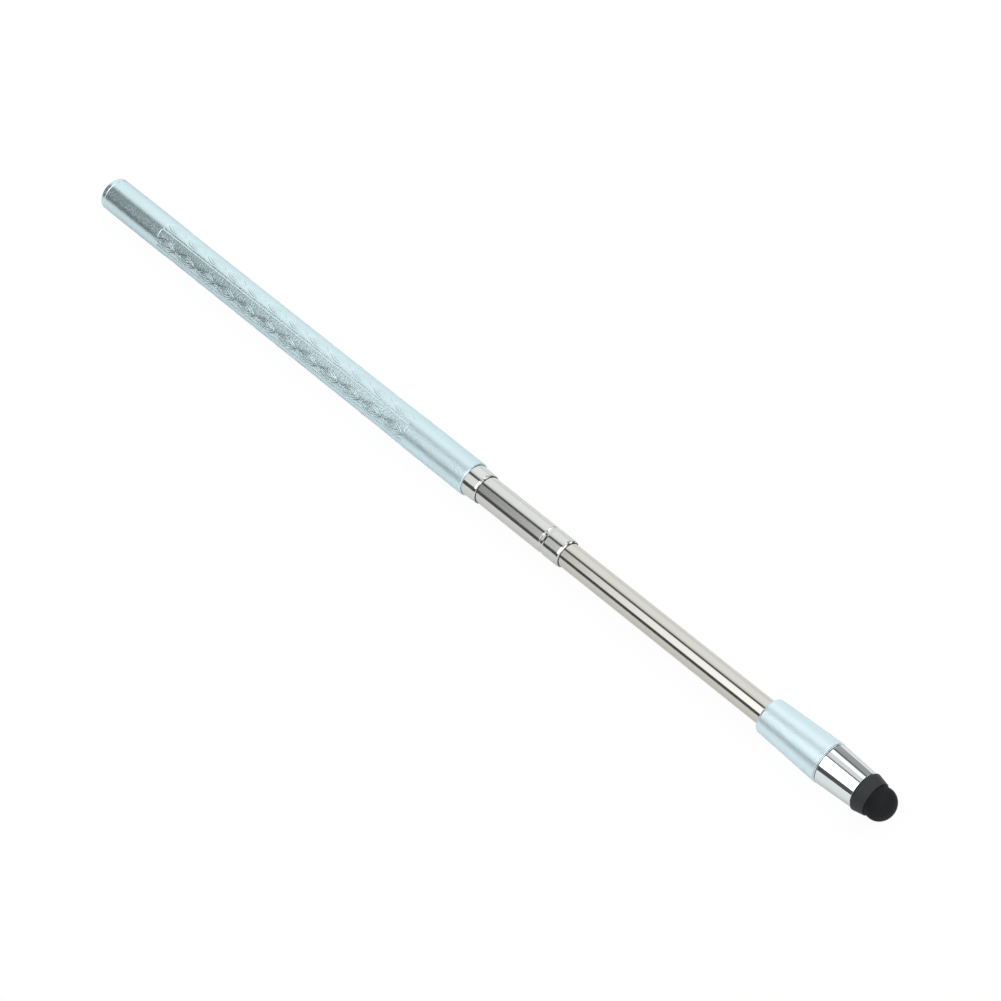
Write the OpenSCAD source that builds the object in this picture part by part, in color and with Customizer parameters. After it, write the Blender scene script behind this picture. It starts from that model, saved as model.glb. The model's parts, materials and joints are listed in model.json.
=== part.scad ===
// Telescopic touch pen: an engraved barrel that holds a fixed steel sleeve, two steel tubes that
// draw out of it one after the other, and a tapered tip with a soft dome.
// Lengths are in mm. The pen lies along +X with its tip at +X and +Z up. The origin is on the
// pen's axis, in the plane where the tail cap meets the rear end of the barrel.
// The model stands as photographed: the middle tube drawn out a little, the inner tube half way.

/* [Barrel] */
// Length of the barrel tube, from the tail cap's seam to the mouth
barrel_len = 121.3; // [90:0.1:160]
// Wall of the barrel tube
barrel_wall = 0.34; // [0.25:0.01:0.8]
// Bevel at the barrel's mouth
barrel_bevel = 0.12; // [0.05:0.01:0.2]

/* [Engraved grip] */
// Plain length of barrel between the cap's seam and the grip
grip_start = 18.4; // [10:0.1:25]
// Length of one leaf with its share of the gap, along the barrel
leaf_pitch = 7.03; // [5:0.01:7.5]
// Number of leaves in one row
leaf_count = 12; // [4:1:12]
// Number of rows round the barrel
leaf_rows = 6; // [4:1:6]
// Width of one leaf, measured straight across
leaf_w = 2.8; // [2:0.1:3]
// Depth of the leaves
leaf_depth = 0.06; // [0.03:0.01:0.1]
// Gap between the points of two leaves in a row
leaf_gap = 0.15; // [0.1:0.01:0.5]
// Turn of the first row about the pen's axis, from straight up, in degrees
leaf_turn = 0; // [0:1:60]
// Width of the ring line that closes each end of the grip
ring_line_w = 0.3; // [0.2:0.05:0.6]
// Depth of that ring line
ring_line_depth = 0.05; // [0.02:0.01:0.1]

/* [Tail] */
// Length of the cap outside the barrel, without its boss
cap_rim = 1.3; // [0.8:0.1:3]
// Radius of the cap's rounded edge
cap_edge = 0.4; // [0.2:0.1:0.7]
// Length of the plug that the cap presses into the barrel
cap_plug = 4.5; // [3:0.1:8]
// Diameter of the boss in the middle of the cap
boss_d = 5.2; // [3:0.1:6]
// Straight height of the boss
boss_step = 0.6; // [0.2:0.1:1]
// Height of the boss's domed end
boss_dome = 0.8; // [0.3:0.1:1.2]
// Thickness of the stop pad behind the tubes
pad_len = 2.0; // [1:0.1:4]

/* [Steel tubes] */
// Outer diameter of the inner, thinnest tube
inner_d = 5.62; // [5:0.01:6]
// Wall of all three steel tubes
tube_wall = 0.20; // [0.15:0.01:0.25]
// Radial space between one tube and the next, where the guide and stop bushes run
stage_gap = 0.22; // [0.2:0.01:0.3]
// Length of the fixed sleeve that stands out of the barrel
collar_show = 4.0; // [2:0.1:10]
// Length of the middle tube that is drawn out
middle_show = 24.7; // [0:0.1:80]
// Length of the inner tube that is drawn out
inner_show = 57.0; // [1:0.1:70]
// Length of the rolled-in lip at a tube's mouth
lip_len = 0.8; // [0.5:0.1:1.2]
// Radial gap between a lip and the tube that passes it
lip_gap = 0.05; // [0.03:0.01:0.08]
// Distance from a mouth back to the middle of the rolled groove
groove_back = 5.2; // [4:0.1:8]
// Width of the rolled groove
groove_w = 1.2; // [0.8:0.1:1.6]
// Depth of the rolled groove
groove_depth = 0.14; // [0.05:0.01:0.15]

/* [Bushes and clips] */
// Radial running gap between a moving piece and its guide
run_gap = 0.03; // [0.02:0.005:0.05]
// Length of each flange of a stop bush
flange_len = 1.0; // [0.6:0.1:2]
// Length of the waist between the flanges, where the friction clip sits
waist_len = 6.0; // [4:0.1:10]
// Length of the plug that a stop bush presses into its tube
stop_plug = 4.0; // [2:0.1:6]
// Radial thickness of a friction clip
clip_wall = 0.4; // [0.25:0.01:0.6]
// End play of a friction clip between the flanges
clip_play = 0.1; // [0.05:0.01:0.2]
// Width of the slit along a friction clip
clip_slit = 0.8; // [0.4:0.1:1.5]
// Number of spring fingers on a friction clip
clip_fingers = 4; // [3:1:6]
// Diameter of the vent hole through a stop bush
vent_d = 1.2; // [0.6:0.1:1.6]

/* [Tip holder] */
// Length of the tip holder
holder_len = 16.1; // [12:0.1:20]
// Diameter of the holder at its rear end
holder_back_d = 7.86; // [7.6:0.02:9]
// Diameter of the holder at its front end
holder_front_d = 9.4; // [8.8:0.1:11]
// Radius of the holder's rounded rear edge
holder_edge = 1.0; // [0.3:0.1:1.0]
// Depth that the inner tube enters the holder
socket_len = 8.0; // [6:0.1:9]
// Diameter of the bore in the front of the holder
holder_bore_d = 6.6; // [6.2:0.1:7.4]
// Length of the connector's plug inside the inner tube
connector_plug = 6.0; // [3:0.1:6]
// Thickness of the connector's flange
connector_flange = 1.5; // [0.8:0.1:2]
// Diameter of the connector's screw
screw_d = 4.0; // [3:0.1:4.5]
// Length of the connector's screw
screw_len = 8.0; // [5:0.1:8]

/* [Ferrule and dome] */
// Thickness of the seam ring between the holder and the ferrule
seam_len = 0.3; // [0.2:0.05:0.6]
// Diameter of the seam ring
seam_d = 9.3; // [8.8:0.05:9.3]
// Length of the ferrule in front of the seam ring
ferrule_len = 9.0; // [8.5:0.1:14]
// Diameter of the ferrule at its rear end
ferrule_back_d = 9.1; // [8.6:0.1:9.2]
// Diameter of the ferrule at its front end
ferrule_front_d = 8.1; // [7.6:0.1:8.2]
// Bevel at the ferrule's front edge
ferrule_bevel = 0.25; // [0.1:0.05:0.4]
// Diameter of the socket in the ferrule's front end
carrier_d = 6.2; // [5.6:0.1:6.6]
// Depth of that socket
carrier_len = 4.0; // [2.5:0.1:4.5]
// Diameter of the post that stands in the dome
post_d = 3.0; // [2:0.1:3.2]
// Length of that post
post_len = 4.0; // [3:0.1:5]
// Length of the soft ring behind the dome
ring_len = 2.8; // [2.5:0.1:5]
// Largest diameter of the soft ring
ring_back_d = 8.7; // [8.2:0.02:9]
// Diameter of the soft ring at the dome
ring_front_d = 7.5; // [7.1:0.02:7.8]
// Radius of the soft ring's rounded rear edge
ring_edge = 0.3; // [0.2:0.1:0.6]
// Diameter of the dome at its widest place
dome_d = 7.06; // [6.6:0.02:7.08]
// How much the dome's neck is set back from its widest place, measured in radius
dome_undercut = 0.08; // [0.02:0.01:0.15]
// Length of the dome from the soft ring to its widest place
dome_neck = 1.3; // [1.1:0.1:1.8]
// Length of the dome's rounded end, from its widest place to the tip
dome_len = 3.2; // [2.8:0.1:3.6]
// Diameter of the dome's skirt inside the soft ring
skirt_d = 5.8; // [5.4:0.1:6]
// Wall of the dome
dome_wall = 0.5; // [0.4:0.05:0.6]

/* [Hidden] */
$fn = 64;

// Gap of a glued or pressed seat
seat_gap = 0.01;
// Space kept at the end of a tube's travel
end_gap = 0.1;
// Space behind a stop bush when its tube is pushed right in
rear_gap = 0.5;
// Length by which a cutter runs past what it cuts
past = 1;
// Steps in a quarter of a rounded edge
round_steps = 8;
// Steps in the dome's rounded end
dome_steps = 20;

// Radii of the tubes, from the inside out
inner_r = inner_d / 2;
inner_bore_r = inner_r - tube_wall;
middle_bore_r = inner_r + stage_gap;
middle_r = middle_bore_r + tube_wall;
sleeve_bore_r = middle_r + stage_gap;
sleeve_r = sleeve_bore_r + tube_wall;
barrel_bore_r = sleeve_r + seat_gap;
barrel_r = barrel_bore_r + barrel_wall;

// Stations along the pen
grip_len = leaf_count * leaf_pitch;
sleeve_back_x = cap_plug;
pad_front_x = sleeve_back_x + pad_len;
sleeve_mouth_x = barrel_len + collar_show;
middle_mouth_x = sleeve_mouth_x + middle_show;
holder_back_x = middle_mouth_x + inner_show;
socket_end_x = holder_back_x + socket_len;
flange_front_x = socket_end_x + connector_flange;
holder_front_x = holder_back_x + holder_len;
ferrule_back_x = holder_front_x + seam_len;
ferrule_front_x = ferrule_back_x + ferrule_len;
ring_front_x = ferrule_front_x + ring_len;
dome_centre_x = ring_front_x + dome_neck;

// Lengths that follow from what has to fit inside the barrel when the pen is closed
stop_len = 2 * flange_len + waist_len;
middle_len = sleeve_mouth_x - pad_front_x - rear_gap - stop_len;
inner_hidden_len = middle_len - stop_plug - rear_gap - stop_len - end_gap;
middle_back_x = middle_mouth_x - middle_len;
inner_back_x = holder_back_x - inner_hidden_len;

// How far each tube still travels from the modelled position
bead_back = groove_back + groove_w / 2;
stroke_end = bead_back + end_gap;
echo(middle_tube_in = -middle_show, middle_tube_out = sleeve_mouth_x - stroke_end - middle_back_x);
echo(inner_tube_in = end_gap - inner_show, inner_tube_out = middle_mouth_x - stroke_end - inner_back_x);

// Radii of the pieces at the tip
dome_r = dome_d / 2;
skirt_r = skirt_d / 2;

// Points of an arc about [cx, cy], from angle a0 to a1
function arc(cx, cy, r, a0, a1) =
    [for (i = [0 : round_steps])
        let (a = a0 + (a1 - a0) * i / round_steps) [cx + r * cos(a), cy + r * sin(a)]];

// Points of the dome's rounded end, from angle a0 behind its widest place to the axis
function dome_points(r, len, a0) =
    [for (i = [0 : dome_steps])
        let (a = a0 + (90 - a0) * i / dome_steps) [r * cos(a), dome_centre_x + len * sin(a)]];

// Outline of the hollow in the dome and its skirt, from station back_x on, drawn smaller by gap
function dome_hollow(back_x, gap) =
    let (skin = dome_wall + gap, r = dome_r - skin, bore_r = skirt_r - skin)
    concat([[0, back_x], [bore_r, back_x]], dome_points(r, dome_len - skin, -acos(bore_r / r)));

// Turns an outline of [radius, station] points about the pen's axis
module turned(outline) {
    rotate([0, 90, 0])
        rotate_extrude()
            polygon(outline);
}

// A straight round bar or cutter from station x0 to x1
module bar(r, x0, x1) {
    translate([x0, 0, 0])
        rotate([0, 90, 0])
            cylinder(r = r, h = x1 - x0);
}

// A ring of outer radius r_out round a bore of radius r_in
module ring(r_in, r_out, x0, x1) {
    turned([[r_in, x0], [r_out, x0], [r_out, x1], [r_in, x1]]);
}

// One steel tube: rolled-in lip at its mouth, and a rolled groove behind it that stands proud
// inside and holds the guide bush. inside_r is the radius of what passes the lip.
module steel_tube(bore_r, back_x, mouth_x, inside_r) {
    outer_r = bore_r + tube_wall;
    lip_r = inside_r + lip_gap;
    groove_x = mouth_x - groove_back;
    half_w = groove_w / 2;
    quarter_w = groove_w / 4;
    turned([
        [bore_r, back_x],
        [outer_r, back_x],
        [outer_r, groove_x - half_w],
        [outer_r - groove_depth, groove_x - quarter_w],
        [outer_r - groove_depth, groove_x + quarter_w],
        [outer_r, groove_x + half_w],
        [outer_r, mouth_x - lip_len],
        [lip_r + tube_wall / 2, mouth_x],
        [lip_r, mouth_x],
        [lip_r, mouth_x - lip_len],
        [bore_r, mouth_x - lip_len],
        [bore_r, groove_x + half_w],
        [bore_r - groove_depth, groove_x + quarter_w],
        [bore_r - groove_depth, groove_x - quarter_w],
        [bore_r, groove_x - half_w]
    ]);
}

// The plastic bush that guides the next tube, held between the lip and the rolled groove
module guide_bush(bore_r, mouth_x, inside_r) {
    front_x = mouth_x - lip_len - seat_gap;
    back_x = mouth_x - groove_back + groove_w / 2 + seat_gap;
    ring(inside_r + run_gap, bore_r - seat_gap, back_x, front_x);
}

// The brass bush on a tube's rear end: a plug in the tube, and two flanges that run in the bore
// of the tube outside it, with a waist between them for the friction clip
module stop_bush(plug_r, flange_r, tube_back_x) {
    waist_r = flange_r - clip_wall;
    waist_x0 = tube_back_x - flange_len - waist_len;
    difference() {
        union() {
            bar(plug_r, tube_back_x, tube_back_x + stop_plug);
            bar(flange_r, tube_back_x - flange_len, tube_back_x);
            bar(waist_r, waist_x0, tube_back_x - flange_len);
            bar(flange_r, waist_x0 - flange_len, waist_x0);
        }
        bar(vent_d / 2, waist_x0 - flange_len - past, tube_back_x + stop_plug + past);
    }
}

// The split spring clip on the waist of a stop bush, with fingers that press on the outer tube
module friction_clip(flange_r, tube_back_x) {
    clip_in_r = flange_r - clip_wall + run_gap;
    front_x = tube_back_x - flange_len - clip_play;
    back_x = tube_back_x - flange_len - waist_len + clip_play;
    finger_x = back_x + (front_x - back_x) / 3;
    finger_slit = clip_slit / 2;
    difference() {
        ring(clip_in_r, flange_r, back_x, front_x);
        translate([back_x - past, -clip_slit / 2, 0])
            cube([front_x - back_x + 2 * past, clip_slit, flange_r + past]);
        for (i = [0 : clip_fingers - 1])
            rotate([180 / clip_fingers + i * 360 / clip_fingers, 0, 0])
                translate([finger_x, -finger_slit / 2, 0])
                    cube([front_x - finger_x + past, finger_slit, flange_r + past]);
    }
}

// Pointed leaf, as an upright prism through the barrel's wall: where two equal discs overlap
module leaf_prism() {
    half_len = (leaf_pitch - leaf_gap) / 2;
    half_w = leaf_w / 2;
    disc_r = (half_len * half_len + half_w * half_w) / (2 * half_w);
    intersection() {
        translate([0, disc_r - half_w, 0])
            cylinder(r = disc_r, h = barrel_r + past);
        translate([0, half_w - disc_r, 0])
            cylinder(r = disc_r, h = barrel_r + past);
    }
}

// The light blue barrel, with its rows of shallow leaves between two ring lines
module barrel() {
    ring_r = barrel_r - ring_line_depth;
    color("#c4dfe4")
        difference() {
            turned([
                [barrel_bore_r, 0],
                [barrel_r, 0],
                [barrel_r, grip_start - ring_line_w],
                [ring_r, grip_start - ring_line_w / 2],
                [barrel_r, grip_start],
                [barrel_r, grip_start + grip_len],
                [ring_r, grip_start + grip_len + ring_line_w / 2],
                [barrel_r, grip_start + grip_len + ring_line_w],
                [barrel_r, barrel_len - barrel_bevel],
                [barrel_r - barrel_bevel, barrel_len],
                [barrel_bore_r, barrel_len]
            ]);
            intersection() {
                ring(barrel_r - leaf_depth, barrel_r + past, grip_start, grip_start + grip_len);
                for (row = [0 : leaf_rows - 1])
                    rotate([leaf_turn + row * 360 / leaf_rows, 0, 0])
                        for (i = [0 : leaf_count - 1])
                            translate([grip_start + (i + 0.5) * leaf_pitch, 0, 0])
                                leaf_prism();
            }
        }
}

// The cap that closes the tail: a rounded rim, a domed boss and a plug pressed into the barrel
module tail_cap() {
    plug_r = barrel_bore_r - seat_gap;
    boss_r = boss_d / 2;
    boss_x = -cap_rim - boss_step;
    sphere_r = (boss_r * boss_r + boss_dome * boss_dome) / (2 * boss_dome);
    dome_angle = asin(boss_r / sphere_r);
    color("#b9d3d9")
        turned(concat(
            [[0, cap_plug], [plug_r, cap_plug], [plug_r, 0], [barrel_r, 0]],
            arc(barrel_r - cap_edge, cap_edge - cap_rim, cap_edge, 0, -90),
            [[boss_r, -cap_rim]],
            arc(0, boss_x - boss_dome + sphere_r, sphere_r, dome_angle - 90, -90)
        ));
}

// The soft pad that stops the tubes from knocking on the cap
module tail_stop_pad() {
    color("#3a3a3c")
        bar(sleeve_bore_r - seat_gap, sleeve_back_x, pad_front_x);
}

// The fixed steel sleeve inside the barrel, whose mouth stands out as a collar
module outer_sleeve() {
    color("#c9c8c4")
        steel_tube(sleeve_bore_r, sleeve_back_x, sleeve_mouth_x, middle_r);
}

module sleeve_guide_bush() {
    color("#e8e6dc")
        guide_bush(sleeve_bore_r, sleeve_mouth_x, middle_r);
}

module middle_friction_clip() {
    color("#b87b3d")
        friction_clip(sleeve_bore_r - run_gap, middle_back_x);
}

module middle_tube() {
    color("#c4c3c0")
        steel_tube(middle_bore_r, middle_back_x, middle_mouth_x, inner_r);
}

module middle_stop_bush() {
    color("#c9a14a")
        stop_bush(middle_bore_r - seat_gap, sleeve_bore_r - run_gap, middle_back_x);
}

module middle_guide_bush() {
    color("#e8e6dc")
        guide_bush(middle_bore_r, middle_mouth_x, inner_r);
}

module inner_friction_clip() {
    color("#b87b3d")
        friction_clip(middle_bore_r - run_gap, inner_back_x);
}

// The thin tube: plain, and glued into the tip holder
module inner_tube() {
    color("#d2d0cc")
        ring(inner_bore_r, inner_r, inner_back_x, socket_end_x);
}

module inner_stop_bush() {
    color("#c9a14a")
        stop_bush(inner_bore_r - seat_gap, middle_bore_r - run_gap, inner_back_x);
}

// The brass connector: a plug in the inner tube, a flange on the tube's end, and a screw
module tip_connector() {
    color("#c9a14a") {
        bar(inner_bore_r - seat_gap, socket_end_x - connector_plug, socket_end_x);
        bar(holder_bore_d / 2 - seat_gap, socket_end_x, flange_front_x);
        bar(screw_d / 2, flange_front_x, flange_front_x + screw_len);
    }
}

// The light blue holder, which widens towards the tip
module tip_holder() {
    back_r = holder_back_d / 2;
    front_r = holder_front_d / 2;
    edge_x = holder_back_x + holder_edge;
    edge_r = back_r + (front_r - back_r) * holder_edge / holder_len;
    color("#d8ecf1")
        turned(concat(
            [[inner_r + seat_gap, holder_back_x]],
            arc(edge_r - holder_edge, edge_x, holder_edge, -90, 0),
            [[front_r, holder_front_x],
             [holder_bore_d / 2, holder_front_x],
             [holder_bore_d / 2, socket_end_x],
             [inner_r + seat_gap, socket_end_x]]
        ));
}

module seam_ring() {
    color("#dfe3e4")
        ring(holder_bore_d / 2, seam_d / 2, holder_front_x, ferrule_back_x);
}

// The chromed ferrule, screwed on the connector, with a socket for the dome's carrier
module chrome_ferrule() {
    front_r = ferrule_front_d / 2;
    spigot_r = holder_bore_d / 2 - seat_gap;
    screw_end_x = flange_front_x + screw_len + rear_gap;
    color("#e6e8ea")
        difference() {
            turned([
                [0, flange_front_x],
                [spigot_r, flange_front_x],
                [spigot_r, ferrule_back_x],
                [ferrule_back_d / 2, ferrule_back_x],
                [front_r, ferrule_front_x - ferrule_bevel],
                [front_r - ferrule_bevel, ferrule_front_x],
                [0, ferrule_front_x]
            ]);
            bar(screw_d / 2 + seat_gap, flange_front_x - past, screw_end_x);
            bar(carrier_d / 2, ferrule_front_x - carrier_len, ferrule_front_x + past);
        }
}

// The carrier pressed into the ferrule, with the post that the dome's core sits on
module dome_carrier() {
    color("#4a4a4c") {
        bar(carrier_d / 2 - seat_gap, ferrule_front_x - carrier_len, ferrule_front_x);
        bar(post_d / 2, ferrule_front_x, ferrule_front_x + post_len);
    }
}

// The soft conical ring that clamps the dome's skirt, a little proud of the ferrule
module clamp_ring() {
    back_r = ring_back_d / 2;
    color("#47484a")
        turned(concat(
            [[skirt_r + seat_gap, ferrule_front_x]],
            arc(back_r - ring_edge, ferrule_front_x + ring_edge, ring_edge, -90, 0),
            [[ring_front_d / 2, ring_front_x], [skirt_r + seat_gap, ring_front_x]]
        ));
}

// The spongy core that fills the dome
module dome_core() {
    color("#5c5c5e")
        difference() {
            turned(dome_hollow(ferrule_front_x, seat_gap));
            bar(post_d / 2 + seat_gap, ferrule_front_x - past, ferrule_front_x + post_len + seat_gap);
        }
}

// The dome that touches the screen: a hollow cap that bulges over its neck, with a skirt under
// the soft ring
module dome_tip() {
    neck_r = dome_r - dome_undercut;
    color("#262729")
        difference() {
            turned(concat(
                [[0, ferrule_front_x], [skirt_r, ferrule_front_x]],
                [[skirt_r, ring_front_x], [neck_r, ring_front_x]],
                dome_points(dome_r, dome_len, -acos(neck_r / dome_r))
            ));
            turned(dome_hollow(ferrule_front_x - past, 0));
        }
}

barrel();
tail_cap();
tail_stop_pad();
outer_sleeve();
sleeve_guide_bush();
middle_friction_clip();
middle_tube();
middle_stop_bush();
middle_guide_bush();
inner_friction_clip();
inner_tube();
inner_stop_bush();
tip_connector();
tip_holder();
seam_ring();
chrome_ferrule();
dome_carrier();
clamp_ring();
dome_core();
dome_tip();
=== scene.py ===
"""Looks of the telescopic touch pen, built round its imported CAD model.

Every visible piece is turned about the pen's axis, which is the X axis of the frame. Lengths are in mm
until a mesh or a node tree takes them; those of the camera and the floor are in metres.
"""
import json
import math

import bpy
import numpy as np
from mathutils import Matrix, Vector


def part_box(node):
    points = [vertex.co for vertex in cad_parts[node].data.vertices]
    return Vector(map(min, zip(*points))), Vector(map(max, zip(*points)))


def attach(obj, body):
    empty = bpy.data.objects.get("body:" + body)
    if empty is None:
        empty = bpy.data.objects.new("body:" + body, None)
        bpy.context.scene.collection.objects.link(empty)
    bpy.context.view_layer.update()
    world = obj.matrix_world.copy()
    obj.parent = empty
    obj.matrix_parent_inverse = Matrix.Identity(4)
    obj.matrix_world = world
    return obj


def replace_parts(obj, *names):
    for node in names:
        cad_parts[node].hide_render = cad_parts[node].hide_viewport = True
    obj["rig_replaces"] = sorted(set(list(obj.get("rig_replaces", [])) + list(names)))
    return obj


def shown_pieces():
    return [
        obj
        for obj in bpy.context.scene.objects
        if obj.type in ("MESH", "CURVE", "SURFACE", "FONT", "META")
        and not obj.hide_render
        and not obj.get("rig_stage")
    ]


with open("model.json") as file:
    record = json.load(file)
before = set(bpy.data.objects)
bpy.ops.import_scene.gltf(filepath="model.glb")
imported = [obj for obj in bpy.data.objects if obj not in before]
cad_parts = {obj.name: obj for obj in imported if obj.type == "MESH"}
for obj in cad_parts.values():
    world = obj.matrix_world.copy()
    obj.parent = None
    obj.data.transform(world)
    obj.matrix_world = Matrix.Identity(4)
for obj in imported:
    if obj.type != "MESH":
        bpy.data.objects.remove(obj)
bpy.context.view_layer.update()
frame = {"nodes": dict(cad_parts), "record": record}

MM = 0.001

# ---------------------------------------------------------------- camera

# The photograph's viewpoint: the point looked at, the angles round from -Y and up from level, and the
# distance; the lens and the sensor's width are in mm
AIM = Vector((129.465, 0.105, 0.0)) * MM
AZIMUTH = math.radians(47.369)
ELEVATION = math.radians(47.175)
DISTANCE = 0.63307
LENS = 109.33
SENSOR = 36.0


def place_camera():
    """Looks at the pen from the right front and above, as the photograph does"""
    data = bpy.data.cameras.new("camera")
    data.lens = LENS
    data.sensor_width = SENSOR
    data.clip_start = 0.01
    data.clip_end = 20.0
    camera = bpy.data.objects.new("camera", data)
    bpy.context.scene.collection.objects.link(camera)
    back = Vector((
        math.sin(AZIMUTH) * math.cos(ELEVATION),
        -math.cos(AZIMUTH) * math.cos(ELEVATION),
        math.sin(ELEVATION),
    ))
    camera.location = AIM + back * DISTANCE
    camera.rotation_mode = "QUATERNION"
    camera.rotation_quaternion = (-back).to_track_quat("-Z", "Y")
    bpy.context.scene.camera = camera


# ---------------------------------------------------------------- node trees

# Numbers of a Mix node's two colour inputs and of its colour output
MIX_A, MIX_B, MIX_RESULT = 6, 7, 2


class Shader:
    """Short calls that add nodes to a node tree and link them"""

    def __init__(self, tree):
        self.tree = tree
        tree.nodes.clear()

    def add(self, kind, inputs=None, **settings):
        node = self.tree.nodes.new(kind)
        for key, value in settings.items():
            setattr(node, key, value)
        for key, value in (inputs or {}).items():
            if isinstance(value, bpy.types.NodeSocket):
                self.tree.links.new(value, node.inputs[key])
            else:
                node.inputs[key].default_value = value
        return node

    def math(self, operation, a, b=0.0):
        return self.add("ShaderNodeMath", {0: a, 1: b}, operation=operation).outputs[0]

    def remap(self, value, from_low, from_high, low, high, steps="LINEAR"):
        inputs = {"Value": value, "From Min": from_low, "From Max": from_high, "To Min": low, "To Max": high}
        return self.add("ShaderNodeMapRange", inputs, interpolation_type=steps).outputs["Result"]

    def band(self, value, low, high, soft):
        """1 between low and high, and 0 outside, with an edge of that softness"""
        rise = self.remap(value, low - soft, low + soft, 0.0, 1.0, "SMOOTHSTEP")
        fall = self.remap(value, high - soft, high + soft, 1.0, 0.0, "SMOOTHSTEP")
        return self.math("MULTIPLY", rise, fall)

    def noise(self, place, size, detail=2.0):
        """Noise whose features have that size along x, y and z, in mm"""
        scale = tuple(1.0 / (s * MM) for s in size)
        spot = self.add("ShaderNodeVectorMath", {0: place, 1: scale}, operation="MULTIPLY").outputs[0]
        inputs = {"Vector": spot, "Scale": 1.0, "Detail": detail}
        return self.add("ShaderNodeTexNoise", inputs).outputs["Fac"]

    def mix_colour(self, share, a, b):
        node = self.add("ShaderNodeMix", {"Factor": share}, data_type="RGBA")
        node.inputs[MIX_A].default_value = (*a, 1.0)
        node.inputs[MIX_B].default_value = (*b, 1.0)
        return node.outputs[MIX_RESULT]


# ---------------------------------------------------------------- light and floor

# The studio is white all round, a little brighter square to the pen than along it. Places in it are
# given by the angle round the pen (0 level towards -Y, 90 straight up) and by the place along the
# pen's axis (0 square to the pen, 1 along it). The sky's two places come first, then its brightness there.
SKY = (0.50, 0.64, 1.12, 0.90)

# The tall front panel: its span of angle with the softness of that edge, and its brightness by place. It is
# dimmer square to the pen, so that pale pieces seen from there don't clip.
FRONT_SPAN = (5.0, 83.0, 9.0)
FRONT_STEPS = [
    (0.12, 1.15), (0.21, 3.2), (0.31, 3.25), (0.38, 1.9), (0.41, 1.45), (0.46, 1.36), (0.475, 0.66),
    (0.495, 0.385), (0.52, 0.24), (0.57, 0.03), (0.66, 0.0),
]

# The other panels: span of angle, softness, span of place, softness, brightness. A span of place that
# begins at -1 or ends at 2 is open there.
PANELS = [
    # grey wall behind the pen, with a dark foot and a bright top
    (124.0, 180.0, 3.0, -1.0, 0.34, 0.04, 0.36),
    (124.0, 137.0, 2.5, -1.0, 0.34, 0.04, 0.17),
    (105.0, 124.0, 3.0, -1.0, 0.34, 0.04, 1.40),
    (81.0, 105.0, 5.0, -1.0, 0.34, 0.04, 0.80),
    # far horizon, and the edge of the ceiling
    (157.0, 183.0, 8.0, 0.36, 2.0, 0.03, 0.92),
    (83.0, 99.0, 7.0, 0.36, 2.0, 0.03, 0.88),
    # seam between the front and the ceiling
    (71.0, 87.0, 5.0, 0.30, 2.0, 0.03, 0.06),
    (73.0, 83.0, 2.0, -1.0, 0.30, 0.03, 0.22),
    # near horizon
    (-14.0, 19.0, 3.5, 0.10, 0.57, 0.03, 0.09),
    (-14.0, 19.0, 3.5, 0.57, 2.0, 0.03, 0.02),
]
# The lamp past the tip, which lights edges that face that way. It is a panel too, but its place counts
# towards the tip alone.
END_LAMP = (65.0, 142.0, 8.0, 0.42, 2.0, 0.06, 1.8)

# Half the table's length and width; its front edge shows in the pen's metal as a dark line
FLOOR_HALF_LENGTH = 3.0
FLOOR_HALF_WIDTH = 0.056
# The share of light that the table throws back on the pen. For the camera and in mirrors, the share of
# light that it throws back and its own glow.
FLOOR_LIT = 0.90
FLOOR_SEEN = (0.05, 0.95)
FLOOR_MIRRORED = (0.60, 0.28)
# In mirrors the glow is that much weaker at the first x, near the tail, and fades in until the second
FLOOR_FADE = (0.10, -0.03, 0.12)


def studio_light():
    """A white studio with grey panels, by direction alone, which but for the end lamp looks the same
    after half a turn"""
    world = bpy.data.worlds.new("studio")
    bpy.context.scene.world = world
    world.use_nodes = True
    s = Shader(world.node_tree)
    direction = s.add("ShaderNodeTexCoord").outputs["Generated"]
    x, y, z = s.add("ShaderNodeSeparateXYZ", {0: direction}).outputs
    along = s.math("ABSOLUTE", x)
    side = s.math("MULTIPLY", y, s.math("SIGN", x))
    turn = s.math("DEGREES", s.math("ARCTAN2", z, side))

    ramp = s.add("ShaderNodeValToRGB", {"Fac": along})
    steps = ramp.color_ramp.elements
    brightest = max(level for place, level in FRONT_STEPS)
    while len(steps) < len(FRONT_STEPS):
        steps.new(1.0)
    for step, (place, level) in zip(steps, FRONT_STEPS):
        step.position = place
        step.color = (level / brightest,) * 3 + (1.0,)
    front_level = s.math("MULTIPLY", ramp.outputs["Color"], brightest)
    low, high, soft = FRONT_SPAN
    front = s.band(turn, low, high, soft)
    sky = s.remap(along, *SKY)
    level = s.math("ADD", sky, s.math("MULTIPLY", front, s.math("SUBTRACT", front_level, sky)))
    for place, panel in [(along, panel) for panel in PANELS] + [(x, END_LAMP)]:
        low, high, soft, near, far, soft_place, bright = panel
        share = s.math("MULTIPLY", s.band(turn, low, high, soft), s.band(place, near, far, soft_place))
        level = s.math("ADD", level, s.math("MULTIPLY", share, s.math("SUBTRACT", bright, level)))

    seen = s.add("ShaderNodeLightPath").outputs["Is Camera Ray"]
    strength = s.math("ADD", level, s.math("MULTIPLY", seen, s.math("SUBTRACT", 1.0, level)))
    shine = s.add("ShaderNodeBackground", {"Color": (1.0, 1.0, 1.0, 1.0), "Strength": strength})
    s.add("ShaderNodeOutputWorld", {"Surface": shine.outputs[0]})


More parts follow.
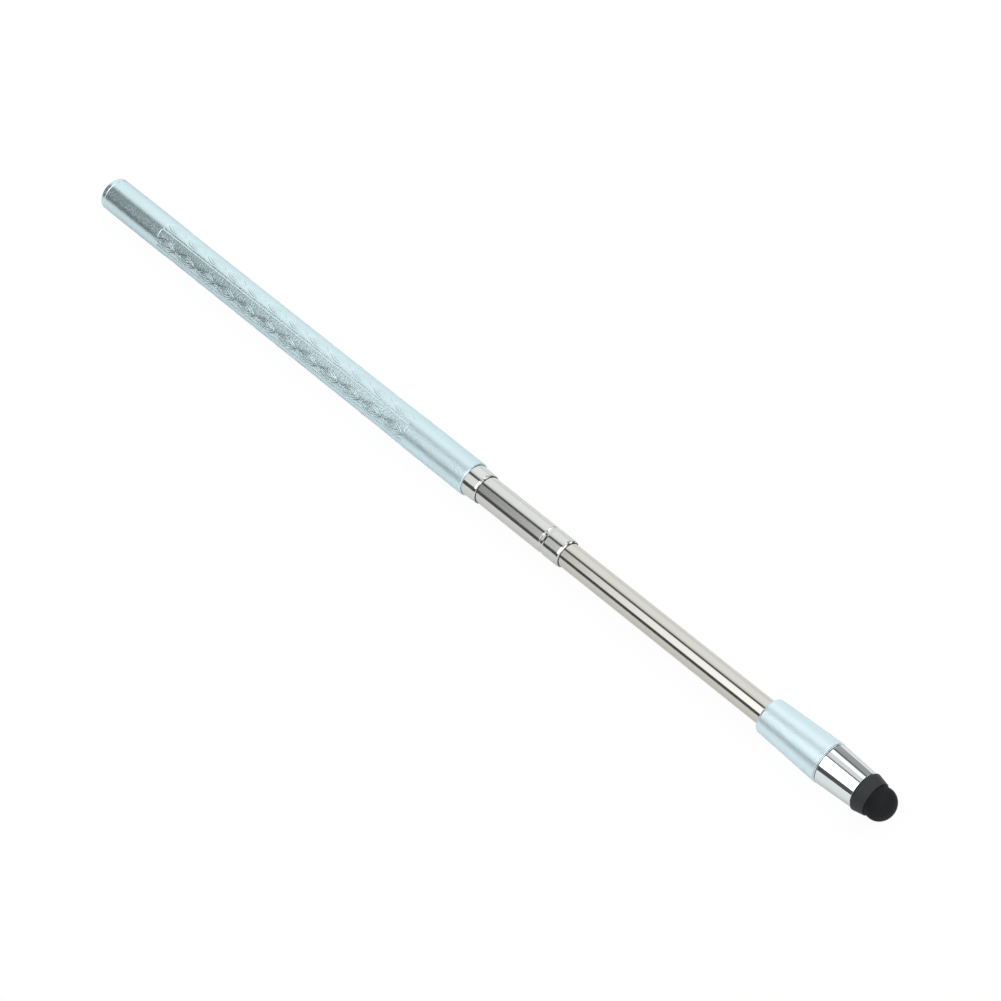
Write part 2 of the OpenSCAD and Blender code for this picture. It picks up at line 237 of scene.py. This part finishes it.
def lay_floor():
    """The white table that the pen's widest piece rests on, which keeps the pen's faint shadow"""
    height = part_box("tip_holder")[0].z
    mesh = bpy.data.meshes.new("floor")
    corners = [(-1, -1), (1, -1), (1, 1), (-1, 1)]
    places = [(a * FLOOR_HALF_LENGTH, b * FLOOR_HALF_WIDTH, height) for a, b in corners]
    mesh.from_pydata(places, [], [(0, 1, 2, 3)])
    floor = bpy.data.objects.new("floor", mesh)
    bpy.context.scene.collection.objects.link(floor)
    material = bpy.data.materials.new("white_table")
    material.use_nodes = True
    s = Shader(material.node_tree)
    path = s.add("ShaderNodeLightPath").outputs
    mirrored = s.math("MAXIMUM", path["Is Glossy Ray"], path["Is Transmission Ray"])
    x = s.add("ShaderNodeSeparateXYZ", {0: s.add("ShaderNodeTexCoord").outputs["Object"]}).outputs[0]
    darkest, tail_x, mouth_x = FLOOR_FADE
    lit = FLOOR_LIT
    glow = s.math("MULTIPLY", mirrored, s.remap(x, tail_x, mouth_x, -darkest, 0.0))
    for rays, (lit_share, glow_share) in ((path["Is Camera Ray"], FLOOR_SEEN), (mirrored, FLOOR_MIRRORED)):
        lit = s.math("ADD", lit, s.math("MULTIPLY", rays, lit_share - FLOOR_LIT))
        glow = s.math("ADD", glow, s.math("MULTIPLY", rays, glow_share))
    white = s.add("ShaderNodeBsdfDiffuse", {"Color": lit})
    shine = s.add("ShaderNodeEmission", {"Strength": glow})
    both = s.add("ShaderNodeAddShader", {0: white.outputs[0], 1: shine.outputs[0]})
    s.add("ShaderNodeOutputMaterial", {"Surface": both.outputs[0]})
    mesh.materials.append(material)
    floor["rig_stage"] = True


# ---------------------------------------------------------------- materials

# Size of the slow changes of colour in mm
PATCH = (6.0, 6.0, 6.0)
# Spans of noise over which the roughness and the colour go from one end to the other
GRAIN_SPAN = (0.3, 0.7)
TINT_SPAN = (0.35, 0.65)
# The mesh attribute that is 1 where painted shade falls at the foot of an engraving's grooves
PAINTED_SHADE_ATTRIBUTE = "painted_groove_shade"


def surface(name, colours, rough, grain, bump, coarser=(1.0, 0.0), painted_shade_strength=0.0, **fixed):
    """A procedural surface in the piece's own coordinates.

    colours: two linear colours that the patches and the grain move between
    rough: lowest and highest roughness, which the grain moves between
    grain: size of one grain along x, y and z in mm; drawn metal has it long in x
    bump: height of the grain in mm
    coarser: length in mm over which the surface grows rougher along x, and by how much
    painted_shade_strength: how much darker the painted shade makes the foot of an engraving's grooves
    fixed: sockets of the shader that are the same all over
    """
    material = bpy.data.materials.new(name)
    material.use_nodes = True
    s = Shader(material.node_tree)
    place = s.add("ShaderNodeTexCoord").outputs["Object"]
    fine = s.noise(place, grain)
    slow = s.noise(place, PATCH)
    along = s.add("ShaderNodeSeparateXYZ", {0: place}).outputs[0]
    length, growth = coarser
    roughness = s.remap(fine, *GRAIN_SPAN, *rough)
    roughness = s.math("ADD", roughness, s.remap(along, 0.0, length * MM, 0.0, growth))
    share = s.math("ADD", s.math("MULTIPLY", fine, 0.5), s.math("MULTIPLY", slow, 0.5))
    share = s.remap(share, *TINT_SPAN, 0.0, 1.0)
    colour = s.mix_colour(share, *colours)
    # Painted shade: the colour is darkened at the foot of the engraved grooves, where the mesh marks it
    if painted_shade_strength:
        painted_groove_shade = s.add("ShaderNodeAttribute", attribute_name=PAINTED_SHADE_ATTRIBUTE).outputs["Fac"]
        kept = s.remap(painted_groove_shade, 0.0, 1.0, 1.0, 1.0 - painted_shade_strength)
        colour = s.add("ShaderNodeVectorMath", {0: colour, "Scale": kept}, operation="SCALE").outputs[0]
    shader = s.add("ShaderNodeBsdfPrincipled", {
        "Base Color": colour,
        "Roughness": roughness,
        "Normal": s.add("ShaderNodeBump", {"Height": fine, "Distance": bump * MM}).outputs[0],
    })
    for socket, value in fixed.items():
        shader.inputs[socket.replace("_", " ")].default_value = value
    s.add("ShaderNodeOutputMaterial", {"Surface": shader.outputs[0]})
    return material


def shades(colour, spread):
    """Two colours that lie that share under and over the middle one"""
    return [tuple(c * (1.0 - spread) for c in colour), tuple(min(c * (1.0 + spread), 1.0) for c in colour)]


BLUE = shades((0.705, 0.88, 0.925), 0.015)
PALE_BLUE = shades((0.765, 0.93, 0.98), 0.015)
# How dark the anodised coat and the chrome grow where they are seen at a flat angle
ANODISED_EDGE = (0.80, 0.83, 0.85, 1.0)
CHROME_EDGE = (0.80, 0.80, 0.80, 1.0)
# Size in mm of the grain of drawn steel and of the satin anodised coat
DRAWN = (4.0, 0.12, 0.12)
SATIN = (0.45, 0.45, 0.45)
# How much darker the painted shade at the foot of the barrel's engraved grooves makes it
GROOVE_PAINTED_SHADE = 0.22
MATERIALS = {
    "barrel_blue": surface(
        "anodised_barrel", BLUE, (0.27, 0.33), SATIN, 0.03, coarser=(121.0, 0.12), painted_shade_strength=GROOVE_PAINTED_SHADE,
        Metallic=1.0, Specular_Tint=ANODISED_EDGE),
    "cap_blue": surface(
        "anodised_cap", BLUE, (0.27, 0.33), SATIN, 0.03, Metallic=1.0, Specular_Tint=ANODISED_EDGE),
    "holder_blue": surface(
        "anodised_holder", PALE_BLUE, (0.38, 0.44), SATIN, 0.03, Metallic=1.0, Specular_Tint=ANODISED_EDGE),
    "sleeve_steel": surface(
        "drawn_sleeve", shades((0.67, 0.68, 0.66), 0.02), (0.09, 0.13), DRAWN, 0.001, Metallic=1.0),
    "middle_steel": surface(
        "drawn_middle_tube", shades((0.65, 0.66, 0.64), 0.02), (0.10, 0.14), DRAWN, 0.001, Metallic=1.0),
    "inner_steel": surface(
        "drawn_inner_tube", shades((0.62, 0.615, 0.57), 0.02), (0.09, 0.13), DRAWN, 0.001, Metallic=1.0),
    "seam_steel": surface(
        "turned_seam", shades((0.80, 0.82, 0.82), 0.02), (0.08, 0.14), (0.05, 0.4, 0.4), 0.0004,
        Metallic=1.0),
    "ferrule_chrome": surface(
        "mirror_chrome", shades((0.79, 0.83, 0.84), 0.01), (0.06, 0.10), (0.5, 0.5, 0.5), 0.0003,
        Metallic=1.0, Specular_Tint=CHROME_EDGE),
    "bush_brass": surface(
        "turned_brass", shades((0.58, 0.36, 0.07), 0.08), (0.18, 0.30), (0.08, 1.0, 1.0), 0.001,
        Metallic=1.0),
    "clip_bronze": surface(
        "spring_bronze", shades((0.48, 0.20, 0.05), 0.08), (0.22, 0.34), (1.5, 0.1, 0.1), 0.001,
        Metallic=1.0),
    "bush_nylon": surface(
        "natural_nylon", shades((0.79, 0.77, 0.70), 0.04), (0.35, 0.48), (0.3, 0.3, 0.3), 0.003),
    "carrier_plastic": surface(
        "moulded_plastic", shades((0.06, 0.06, 0.063), 0.1), (0.40, 0.55), (0.2, 0.2, 0.2), 0.004),
    "pad_rubber": surface(
        "pad_rubber", shades((0.04, 0.04, 0.042), 0.12), (0.6, 0.8), (0.2, 0.2, 0.2), 0.006),
    "ring_rubber": surface(
        "ring_rubber", shades((0.022, 0.0245, 0.0255), 0.06), (0.45, 0.60), (0.15, 0.15, 0.15), 0.002,
        Specular_IOR_Level=0.32),
    "core_sponge": surface(
        "core_sponge", shades((0.08, 0.08, 0.084), 0.2), (0.8, 0.95), (0.25, 0.25, 0.25), 0.05),
    "dome_rubber": surface(
        "dome_rubber", shades((0.009, 0.0105, 0.0125), 0.12), (0.60, 0.75), (0.14, 0.14, 0.14), 0.006,
        Specular_IOR_Level=0.16),
}

# ---------------------------------------------------------------- turned meshes

# Sides of a turned mesh, and of the engraved barrel's
SIDES = 192
FINE_SIDES = 384
# Steps of a fillet, and the share of a stretch that the fillet at one of its ends may take
FILLET_STEPS = 5
MOST_OF_STRETCH = 0.49
# A straight stretch longer than this gets a ring near each end, so that its shading stays straight
LONG_STRETCH = 0.2
RING_INSET = 0.03
# A radius up to this counts as on the axis
ON_AXIS = 1e-6
# Fillets of edges that look sharp, crisp and eased
HAIR = 0.02
CRISP = 0.03
EASED = 0.05


def rounded(corners):
    """Outline of [x, r] points from corners (x, r, fillet); a fillet of 0 leaves the point as it is"""
    ends_on_axis = corners[0][1] == 0.0 and corners[-1][1] == 0.0
    count = len(corners)
    points = []
    for i, (x, r, fillet) in enumerate(corners):
        here = np.array([x, r])
        if fillet == 0.0 or (ends_on_axis and i in (0, count - 1)):
            points.append(here)
            continue
        back = np.array(corners[i - 1][:2]) - here
        ahead = np.array(corners[(i + 1) % count][:2]) - here
        back_len, ahead_len = np.linalg.norm(back), np.linalg.norm(ahead)
        back, ahead = back / back_len, ahead / ahead_len
        half = math.acos(float(np.clip(back @ ahead, -1.0, 1.0))) / 2
        reach = min(fillet / math.tan(half), MOST_OF_STRETCH * back_len, MOST_OF_STRETCH * ahead_len)
        radius = reach * math.tan(half)
        centre = here + (back + ahead) / np.linalg.norm(back + ahead) * radius / math.sin(half)
        start, end = here + back * reach - centre, here + ahead * reach - centre
        sweep = math.pi - 2 * half
        for step in range(FILLET_STEPS + 1):
            t = step / FILLET_STEPS
            spot = (start * math.sin((1 - t) * sweep) + end * math.sin(t * sweep)) / math.sin(sweep)
            points.append(centre + spot)
    return points


def stiffened(points, closed):
    """The outline with a ring near each end of its long straight stretches"""
    made = []
    last = len(points) if closed else len(points) - 1
    for i, here in enumerate(points):
        made.append(here)
        if i >= last:
            continue
        step = points[(i + 1) % len(points)] - here
        length = np.linalg.norm(step)
        if length > LONG_STRETCH:
            made.append(here + step * RING_INSET / length)
            made.append(here + step * (1 - RING_INSET / length))
    return np.array(made)


def turned_mesh(name, outline, relief=None, sides=SIDES):
    """Mesh of an outline of [x, r] points turned about the X axis.

    The outline either closes on itself or begins and ends on the axis. Angles run from +Z towards -Y.
    relief(x, r, turn) gives what is added to the radius and where painted shade darkens the foot of its
    grooves, for arrays of stations, radii and angles.
    """
    closed = not (outline[0][1] == 0.0 and outline[-1][1] == 0.0)
    following = np.roll(outline, -1, axis=0)
    area = np.sum(outline[:, 0] * following[:, 1] - following[:, 0] * outline[:, 1])
    if area > 0:
        outline = outline[::-1]
    turn = np.arange(sides) * 2 * math.pi / sides
    rings = outline if closed else outline[1:-1]
    x, r = rings[:, :1], rings[:, 1:]
    radius = np.repeat(r, sides, axis=1)
    if relief is not None:
        # The relief also gives where painted shade darkens the foot of its grooves
        change, painted_groove_shade = relief(x, r, turn[None, :])
        radius = radius + change
    vertices = np.stack([
        np.repeat(x, sides, axis=1),
        -radius * np.sin(turn)[None, :],
        radius * np.cos(turn)[None, :],
    ], axis=-1).reshape(-1, 3)
    count = len(rings)
    ring = np.arange(count if closed else count - 1)[:, None] * sides
    ahead = (ring + sides) % (count * sides)
    here = np.arange(sides)[None, :]
    beside = (here + 1) % sides
    quads = np.stack([ring + here, ring + beside, ahead + beside, ahead + here], axis=-1).reshape(-1, 4)
    loops = [quads.ravel()]
    sizes = [np.full(len(quads), 4)]
    if not closed:
        first, last = len(vertices), len(vertices) + 1
        vertices = np.vstack([vertices, [outline[0][0], 0, 0], [outline[-1][0], 0, 0]])
        here, beside = here.ravel(), beside.ravel()
        end = (count - 1) * sides
        loops.append(np.stack([np.full(sides, first), beside, here], axis=-1).ravel())
        loops.append(np.stack([np.full(sides, last), end + here, end + beside], axis=-1).ravel())
        sizes.append(np.full(2 * sides, 3))
    loops, sizes = np.concatenate(loops), np.concatenate(sizes)
    mesh = bpy.data.meshes.new(name)
    mesh.vertices.add(len(vertices))
    mesh.vertices.foreach_set("co", (vertices * MM).astype(np.float32).ravel())
    mesh.loops.add(len(loops))
    mesh.loops.foreach_set("vertex_index", loops.astype(np.int32))
    mesh.polygons.add(len(sizes))
    mesh.polygons.foreach_set("loop_start", np.concatenate([[0], np.cumsum(sizes)[:-1]]).astype(np.int32))
    mesh.polygons.foreach_set("use_smooth", np.ones(len(sizes), bool))
    mesh.update(calc_edges=True)
    mesh.validate()
    if relief is not None:
        # The painted shade at the foot of the grooves goes on the mesh as an attribute
        painted_shade_layer = mesh.attributes.new(PAINTED_SHADE_ATTRIBUTE, "FLOAT", "POINT")
        painted_shade_layer.data.foreach_set("value", painted_groove_shade.astype(np.float32).ravel())
    return mesh


def turned_piece(name, node, outline, relief=None, sides=SIDES):
    """A turned piece that stands for a CAD node, rides on its body and takes its material slot"""
    mesh = turned_mesh(name, outline, relief, sides)
    piece = bpy.data.objects.new(name, mesh)
    bpy.context.scene.collection.objects.link(piece)
    slot = SLOT_OF[node]
    mesh.materials.append(MATERIALS[slot])
    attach(piece, BODY_OF[node])
    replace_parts(piece, node)
    return piece


def outline_of(corners):
    """Finished outline from corners (x, r, fillet)"""
    closed = not (corners[0][1] == 0.0 and corners[-1][1] == 0.0)
    return stiffened(rounded(corners), closed)


def arc(centre_x, length, radius, start, end, steps):
    """Corners along an ellipse about a point of the axis, with that half length and radius; the angles
    are in degrees from -X, and at 0 and 180 the corners lie on the axis"""
    corners = []
    for i in range(steps + 1):
        angle = math.radians(start + (end - start) * i / steps)
        r = radius * math.sin(angle)
        corners.append((centre_x - length * math.cos(angle), r if r > ON_AXIS else 0.0, 0.0))
    return corners


# ---------------------------------------------------------------- the frame's sizes

def span(node):
    """Stations in mm where a CAD node begins and ends, and its largest radius"""
    low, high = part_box(node)
    return round(low.x / MM, 3), round(high.x / MM, 3), round(high.z / MM, 3)


SLOT_OF = {part["node"]: part["material_slot"] for part in frame["record"]["subparts"]}
BODY_OF = {n: body for body, nodes in frame["record"]["behaviour"]["bodies"].items() for n in nodes}

# The gap of a pressed seat and the wall of a tube, as in the CAD model. The gap inside a lip is wider than
# there, to show as a line.
SEAT_GAP = 0.01
TUBE_WALL = 0.20
LIP_GAP = 0.17

# ---------------------------------------------------------------- barrel

BARREL_R = span("barrel")[2]
# Bevels of the barrel's mouth, of the bore there, and of the seam at the tail cap
BEVEL = 0.15
BORE_BEVEL = 0.12
SEAM_BEVEL = 0.11
# Where the grip begins, and where its first leaves would without the line that cuts their points off
GRIP_START = 19.2
LEAF_START = 18.4
# Pitch and number of the leaves in a row, and the angle from row to row
LEAF_PITCH = 7.03
LEAF_COUNT = 12
ROW_ANGLE = 60.0
GRIP_END = LEAF_START + LEAF_COUNT * LEAF_PITCH
# A leaf's length and width, and the depth and width of the step at its edge
LEAF_LEN = 6.9
LEAF_WIDTH = 2.84
LEAF_EDGE_DEPTH = 0.012
LEAF_EDGE_WIDTH = 0.10
# How far the leaf's front half falls to its point, and where its rear turns into its front, in halves of
# its length from its middle
LEAF_FALL = 0.07
LEAF_CHANGE = (-0.2, 0.5)
# The leaf's terraces run round inside its edge: their pitch, and for its rear and its front half how
# much of the pitch is the slope that faces out, and the depth
TERRACE_PITCH = 0.52
TERRACE_SLOPE = (0.35, 0.80)
TERRACE_DEPTH = (0.065, 0.045)
# How fast the painted shade fades out from the foot of each terrace; only the leaf's rear has this painted
# shade
PAINTED_SHADE_FADE = 3.0
# Angle of a ridge line past the middle of a leaf row, and its groove
RIDGE_ANGLE = 21.1
RIDGE_HALF_WIDTH = 0.27
RIDGE_DEPTH = 0.13
# Share of a true flat between two ridge lines, and the length over which it sets in at the grip's ends
FLATNESS = 0.16
FLATNESS_FADE = 6.0
# Width and depth of the line that closes each end of the grip
RING_LINE = 0.3
RING_LINE_DEPTH = 0.025
# Distance between the mesh's rings along the grip
GRIP_STEP = 0.088


def smoothstep(value, low, high):
    t = np.clip((value - low) / (high - low), 0.0, 1.0)
    return t * t * (3 - 2 * t)


def grip_relief(x, r, turn):
    """What the engraving adds to the barrel's radius, and where painted shade darkens the foot of its
    leaves' terraces: six ridge lines, each a fine groove, flats between them, and rows of pointed, terraced
    leaves whose front halves fall away"""
    inside = (x > GRIP_START) & (x < GRIP_END) & (r > BARREL_R - RING_LINE_DEPTH / 2)
    degrees = np.degrees(turn)
    from_flat = (degrees - RIDGE_ANGLE) % ROW_ANGLE - ROW_ANGLE / 2
    hexagon = np.cos(math.radians(ROW_ANGLE / 2)) / np.cos(np.radians(from_flat))
    near_end = np.minimum(x - GRIP_START, GRIP_END - x)
    flat = FLATNESS * BARREL_R * (1 - hexagon) * smoothstep(near_end, 0.0, FLATNESS_FADE)
    from_ridge = np.radians(ROW_ANGLE / 2 - np.abs(from_flat)) * BARREL_R
    groove = RIDGE_DEPTH * np.clip(1 - from_ridge / RIDGE_HALF_WIDTH, 0.0, 1.0)

    across = np.abs(np.radians((degrees + ROW_ANGLE / 2) % ROW_ANGLE - ROW_ANGLE / 2)) * BARREL_R
    along = (x - LEAF_START) % LEAF_PITCH - LEAF_PITCH / 2
    half_len, half_width = LEAF_LEN / 2, LEAF_WIDTH / 2
    disc = (half_len ** 2 + half_width ** 2) / (2 * half_width)
    depth_in = disc - np.hypot(along, across + disc - half_width)
    leaf = smoothstep(depth_in, 0.0, LEAF_EDGE_WIDTH)
    front = smoothstep(along / half_len, *LEAF_CHANGE)
    slope = TERRACE_SLOPE[0] * (1 - front) + TERRACE_SLOPE[1] * front
    phase = depth_in / TERRACE_PITCH % 1.0
    terrace = 1 - np.minimum(phase / slope, (1 - phase) / (1 - slope))
    terrace_depth = TERRACE_DEPTH[0] * (1 - front) + TERRACE_DEPTH[1] * front
    fall = LEAF_EDGE_DEPTH + LEAF_FALL * front * (along / half_len) ** 2 + terrace_depth * terrace
    change = np.where(inside, -flat - groove - leaf * fall, 0.0)
    # The second value is painted shade at the foot of each terrace, on the leaf's rear half only
    return change, np.where(inside, leaf * (1 - front) * terrace ** PAINTED_SHADE_FADE, 0.0)


def make_barrel():
    """The barrel tube, with its engraved grip between two ring lines"""
    back_x, mouth_x, _ = span("barrel")
    bore = span("outer_sleeve")[2] + SEAT_GAP
    # The corner left out of each list closes it, and the grip's own rings come in its place
    before = rounded([
        (back_x, bore, HAIR),
        (back_x, BARREL_R - SEAM_BEVEL, HAIR),
        (back_x + SEAM_BEVEL, BARREL_R, CRISP),
        (GRIP_START - RING_LINE, BARREL_R, CRISP),
        (GRIP_START - RING_LINE / 2, BARREL_R - RING_LINE_DEPTH, EASED),
        (GRIP_START, BARREL_R, 0.0),
        (GRIP_START, bore, 0.0),
    ])[:-1]
    after = rounded([
        (GRIP_END, bore, 0.0),
        (GRIP_END, BARREL_R, 0.0),
        (GRIP_END + RING_LINE / 2, BARREL_R - RING_LINE_DEPTH, EASED),
        (GRIP_END + RING_LINE, BARREL_R, CRISP),
        (mouth_x - BEVEL, BARREL_R, CRISP),
        (mouth_x, BARREL_R - BEVEL, HAIR),
        (mouth_x, bore + BORE_BEVEL, HAIR),
        (mouth_x - BORE_BEVEL, bore, HAIR),
    ])[1:]
    steps = round((GRIP_END - GRIP_START) / GRIP_STEP)
    stations = np.linspace(GRIP_START, GRIP_END, steps + 1)[1:-1]
    grip = [np.array([x, BARREL_R]) for x in stations]
    outline = stiffened(before + grip + after, closed=True)
    turned_piece("engraved_barrel", "barrel", outline, grip_relief, FINE_SIDES)


# ---------------------------------------------------------------- tail

# Length of the cap's rim, and its rounded edge
CAP_RIM = 1.3
CAP_EDGE = 0.4
# Radius of the boss, its straight height, the fillet of its edges, and the steps of its dome
BOSS_R = 2.6
BOSS_STEP = 0.6
BOSS_EDGE = 0.08
BOSS_ARC_STEPS = 12
# Fillet of the plug's end
PLUG_EDGE = 0.1


def make_tail_cap():
    """The cap's plug, rounded rim and domed boss, all on the axis"""
    end_x, plug_x, radius = span("tail_cap")
    plug_r = span("outer_sleeve")[2]
    boss_x = -CAP_RIM - BOSS_STEP
    rise = boss_x - end_x
    dome_r = (BOSS_R ** 2 + rise ** 2) / (2 * rise)
    widest = math.degrees(math.asin(BOSS_R / dome_r))
    dome = arc(end_x + dome_r, dome_r, dome_r, 0.0, widest, BOSS_ARC_STEPS)
    corners = dome[:-1] + [
        (boss_x, BOSS_R, BOSS_EDGE),
        (-CAP_RIM, BOSS_R, BOSS_EDGE),
        (-CAP_RIM, radius, CAP_EDGE),
        (-SEAM_BEVEL, radius, CRISP),
        (0.0, radius - SEAM_BEVEL, HAIR),
        (0.0, plug_r, HAIR),
        (plug_x, plug_r, PLUG_EDGE),
        (plug_x, 0.0, 0.0),
    ]
    turned_piece("domed_tail_cap", "tail_cap", outline_of(corners))


# ---------------------------------------------------------------- steel tubes

# The rolled groove: how far it lies behind the mouth, its width and depth, and the fillets of its rims
# and of its floor
GROOVE_BACK = 5.2
GROOVE_W = 1.2
GROOVE_DEPTH = 0.14
GROOVE_RIM = 0.35
GROOVE_FLOOR = 0.25
# The rolled-in lip: its length, where the tube begins to narrow and by how much, the length of the
# chamfer after that, the wall left at the mouth, and the fillets of the narrowing and of the mouth
LIP_LEN = 0.8
LIP_START = 0.62
LIP_FALL = 0.045
LIP_CHAMFER = 0.24
LIP_EDGE = 0.03
LIP_BLEND = 0.20
LIP_NOSE = 0.04
# Length over which the sleeve's collar narrows, by how much, and the fillet where it begins to
COLLAR_LEN = 4.0
COLLAR_FALL = 0.09
COLLAR_BLEND = 0.30


def make_rolled_tube(name, node, inside_r, fall=0.0):
    """A drawn tube with a rolled groove, and a rolled-in lip that narrows twice; fall is what it loses
    over the collar before that"""
    back_x, mouth_x, outer_r = span(node)
    bore_r = outer_r - TUBE_WALL
    lip_r = inside_r + LIP_GAP
    groove_x = mouth_x - GROOVE_BACK
    groove = []
    for side in (-1, 1):
        wide = (groove_x + side * GROOVE_W / 2, outer_r, GROOVE_RIM)
        deep = (groove_x + side * GROOVE_W / 4, outer_r - GROOVE_DEPTH, GROOVE_FLOOR)
        groove += [wide, deep] if side < 0 else [deep, wide]
    collar = [(mouth_x - COLLAR_LEN, outer_r, COLLAR_BLEND)] if fall else []
    inner_groove = [(x, r - TUBE_WALL, fillet) for x, r, fillet in reversed(groove)]
    corners = [
        (back_x, bore_r, HAIR),
        (back_x, outer_r, CRISP),
        *groove,
        *collar,
        (mouth_x - LIP_START, outer_r - fall, LIP_BLEND),
        (mouth_x - LIP_CHAMFER, outer_r - fall - LIP_FALL, EASED),
        (mouth_x, lip_r + LIP_EDGE, LIP_NOSE),
        (mouth_x, lip_r, HAIR),
        (mouth_x - LIP_LEN, lip_r, HAIR),
        (mouth_x - LIP_LEN, bore_r, HAIR),
        *inner_groove,
    ]
    turned_piece(name, node, outline_of(corners))


def make_inner_tube():
    """The plain thin tube"""
    back_x, front_x, outer_r = span("inner_tube")
    corners = [
        (back_x, outer_r - TUBE_WALL, HAIR),
        (back_x, outer_r, CRISP),
        (front_x, outer_r, CRISP),
        (front_x, outer_r - TUBE_WALL, HAIR),
    ]
    turned_piece("inner_steel_tube", "inner_tube", outline_of(corners))


# ---------------------------------------------------------------- tip

# The holder: its radius behind, the fillets of its rear and front edges, the bore in front, and how far
# the inner tube enters it
HOLDER_BACK_R = 3.93
HOLDER_EDGE = 1.0
HOLDER_FRONT_EDGE = 0.12
HOLDER_BORE_R = 3.3
SOCKET_LEN = 8.0
# The seam ring is drawn that much shorter at each side, which leaves a fine dark line
SEAM_LINE = 0.04
SEAM_EDGE = 0.10
# The ferrule: its radii, the bevels and fillet of its front and rear edges, and the holes in it for the
# connector's screw and for the dome's carrier
FERRULE_BACK_R = 4.55
FERRULE_FRONT_R = 4.05
FERRULE_BEVEL = 0.25
BACK_BEVEL = 0.18
FERRULE_EDGE = 0.06
SCREW_R = 2.0
SCREW_HOLE = 8.5
CARRIER_R = 3.1
CARRIER_LEN = 4.0
# The clamp ring's radius in front and its rounded rear edge, and the radius of the skirt inside it
RING_FRONT_R = 3.75
RING_EDGE = 0.3
SKIRT_R = 2.9
# The dome's length in front of its widest place, how far its neck is set back, and its wall
DOME_LEN = 3.2
DOME_UNDERCUT = 0.08
DOME_WALL = 0.5
DOME_ARC_STEPS = 24


def make_holder():
    """The conical holder that widens towards the tip"""
    back_x, front_x, front_r = span("tip_holder")
    tube_r = span("inner_tube")[2] + SEAT_GAP
    corners = [
        (back_x, tube_r, EASED),
        (back_x, HOLDER_BACK_R, HOLDER_EDGE),
        (front_x, front_r, HOLDER_FRONT_EDGE),
        (front_x, HOLDER_BORE_R, CRISP),
        (back_x + SOCKET_LEN, HOLDER_BORE_R, CRISP),
        (back_x + SOCKET_LEN, tube_r, CRISP),
    ]
    turned_piece("conical_holder", "tip_holder", outline_of(corners))


def make_seam_ring():
    """The bright ring between the holder and the ferrule"""
    back_x, front_x, radius = span("seam_ring")
    corners = [
        (back_x + SEAM_LINE, HOLDER_BORE_R, HAIR),
        (back_x + SEAM_LINE, radius, SEAM_EDGE),
        (front_x - SEAM_LINE, radius, SEAM_EDGE),
        (front_x - SEAM_LINE, HOLDER_BORE_R, HAIR),
    ]
    turned_piece("bright_seam_ring", "seam_ring", outline_of(corners))


def make_ferrule():
    """The chromed ferrule: spigot, cone and bevelled front, with its screw hole and its socket"""
    spigot_x, front_x, _ = span("chrome_ferrule")
    back_x = span("seam_ring")[1]
    spigot_r = HOLDER_BORE_R - SEAT_GAP
    hole_x = spigot_x + SCREW_HOLE
    socket_x = front_x - CARRIER_LEN
    corners = [
        (hole_x, 0.0, 0.0),
        (hole_x, SCREW_R + SEAT_GAP, HAIR),
        (spigot_x, SCREW_R + SEAT_GAP, EASED),
        (spigot_x, spigot_r, EASED),
        (back_x, spigot_r, HAIR),
        (back_x, FERRULE_BACK_R - BACK_BEVEL, CRISP),
        (back_x + BACK_BEVEL, FERRULE_BACK_R, EASED),
        (front_x - FERRULE_BEVEL, FERRULE_FRONT_R, FERRULE_EDGE),
        (front_x, FERRULE_FRONT_R - FERRULE_BEVEL, EASED),
        (front_x, CARRIER_R, EASED),
        (socket_x, CARRIER_R, EASED),
        (socket_x, 0.0, 0.0),
    ]
    turned_piece("mirror_ferrule", "chrome_ferrule", outline_of(corners))


def make_clamp_ring():
    """The conical rubber ring round the dome's skirt"""
    back_x, front_x, back_r = span("clamp_ring")
    corners = [
        (back_x, SKIRT_R + SEAT_GAP, HAIR),
        (back_x, back_r, RING_EDGE),
        (front_x, RING_FRONT_R, EASED),
        (front_x, SKIRT_R + SEAT_GAP, HAIR),
    ]
    turned_piece("soft_clamp_ring", "clamp_ring", outline_of(corners))


def make_dome():
    """The hollow rubber dome, which bulges over its neck, with its skirt"""
    skirt_x, tip_x, radius = span("dome_tip")
    neck_x = span("clamp_ring")[1]
    neck_r = radius - DOME_UNDERCUT
    bore_r = SKIRT_R - DOME_WALL
    centre_x = tip_x - DOME_LEN
    outer = (centre_x, DOME_LEN, radius)
    hollow = (centre_x, DOME_LEN - DOME_WALL, radius - DOME_WALL)
    neck_angle = math.degrees(math.asin(neck_r / radius))
    bore_angle = 180.0 - math.degrees(math.asin(bore_r / hollow[2]))
    corners = arc(*outer, 180.0, neck_angle, DOME_ARC_STEPS) + [
        (neck_x, neck_r, 0.0),
        (neck_x, SKIRT_R, HAIR),
        (skirt_x, SKIRT_R, EASED),
        (skirt_x, bore_r, EASED),
    ] + arc(*hollow, bore_angle, 180.0, DOME_ARC_STEPS)
    turned_piece("rubber_dome", "dome_tip", outline_of(corners))


# ---------------------------------------------------------------- inner pieces

def dress_inner_nodes():
    """Materials for the CAD nodes inside the pen, which keep their own meshes"""
    stood_for = {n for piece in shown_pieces() for n in piece.get("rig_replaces", [])}
    for node, piece in frame["nodes"].items():
        if node in stood_for:
            continue
        material = MATERIALS[SLOT_OF[node]]
        if not piece.material_slots:
            piece.data.materials.append(material)
        for place in piece.material_slots:
            place.material = material


bpy.context.scene.view_settings.view_transform = "Standard"
place_camera()
studio_light()
lay_floor()
make_barrel()
make_tail_cap()
make_rolled_tube("steel_collar", "outer_sleeve", span("middle_tube")[2], COLLAR_FALL)
make_rolled_tube("middle_steel_tube", "middle_tube", span("inner_tube")[2])
make_inner_tube()
make_holder()
make_seam_ring()
make_ferrule()
make_clamp_ring()
make_dome()
dress_inner_nodes()
